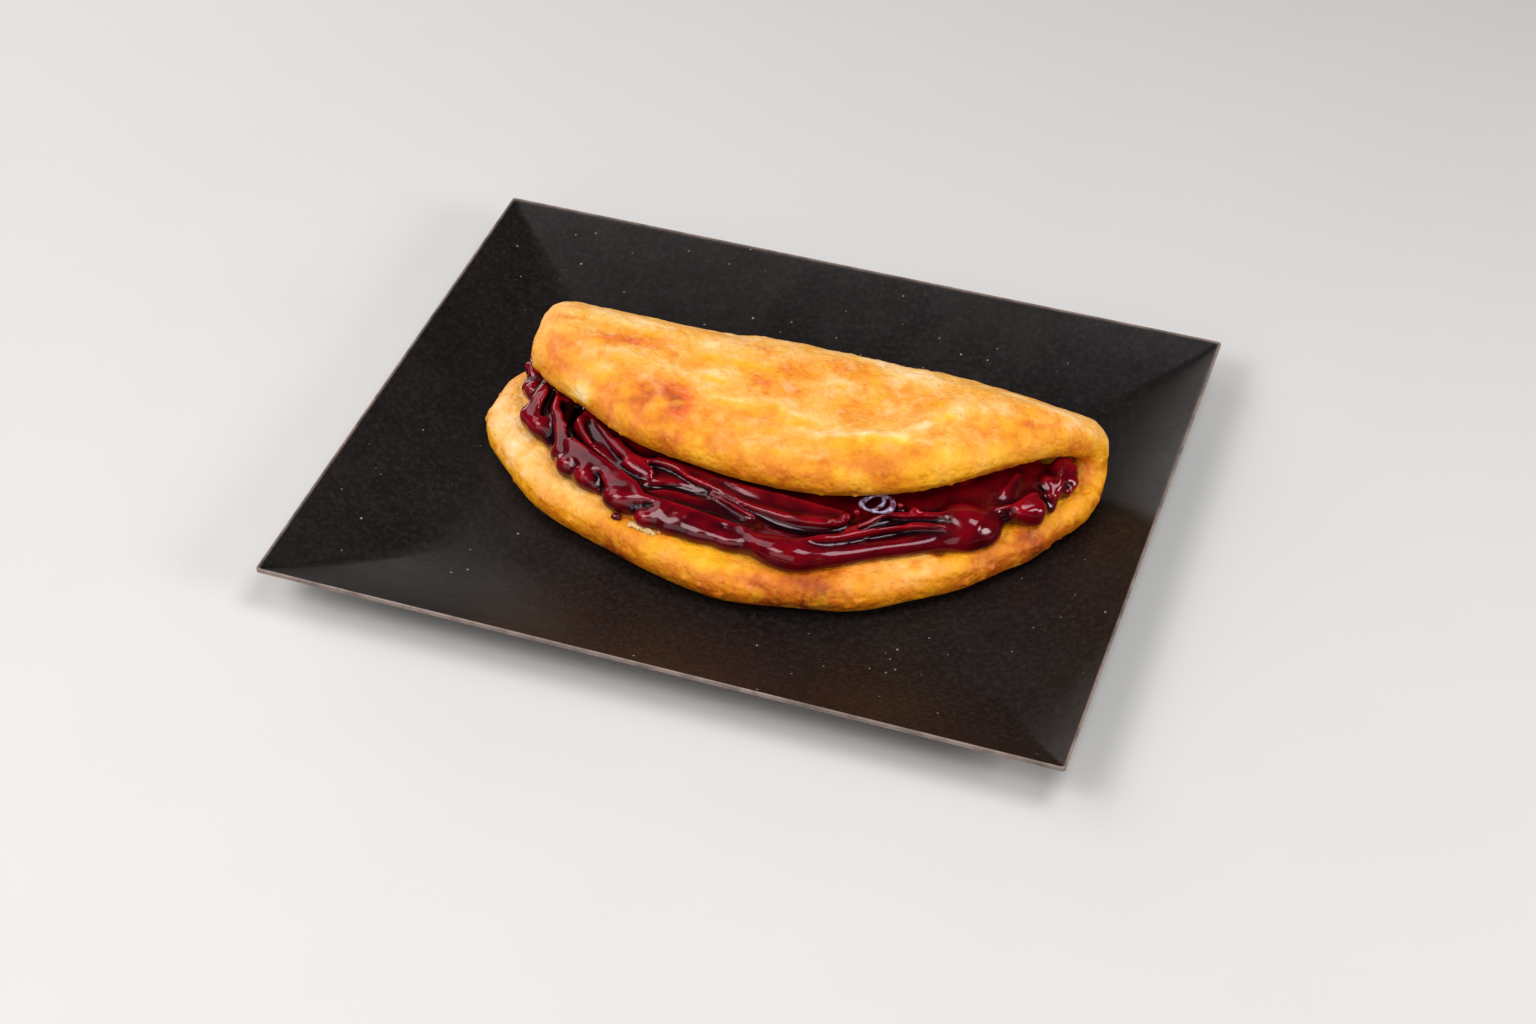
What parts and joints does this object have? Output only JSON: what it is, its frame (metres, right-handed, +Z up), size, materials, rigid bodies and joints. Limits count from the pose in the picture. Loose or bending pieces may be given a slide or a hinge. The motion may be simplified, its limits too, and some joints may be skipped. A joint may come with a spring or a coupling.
{
  "type": "langos with cherry jam on a plate",
  "caption": "Fried flatbread folded over a thick layer of dark cherry jam, on a shallow rectangular black plate with sloping sides.",
  "frame": {"origin": "middle of the plate's flat underside", "axes": "+X along the plate's long side and the fold of the bread, -Y towards the open mouth of the fold, +Z up"},
  "size_m": [0.2314, 0.181, 0.0374],
  "materials": {
    "plate": "black, satin, lightly scuffed",
    "bread": "fried dough, golden with browned patches and a thin film of fat",
    "jam": "dark cherry jam, wet and very glossy"
  },
  "bodies": {
    "root": {"plate": "plate", "bread": "bread", "cherry_jam": "jam"}
  },
  "joints": []
}
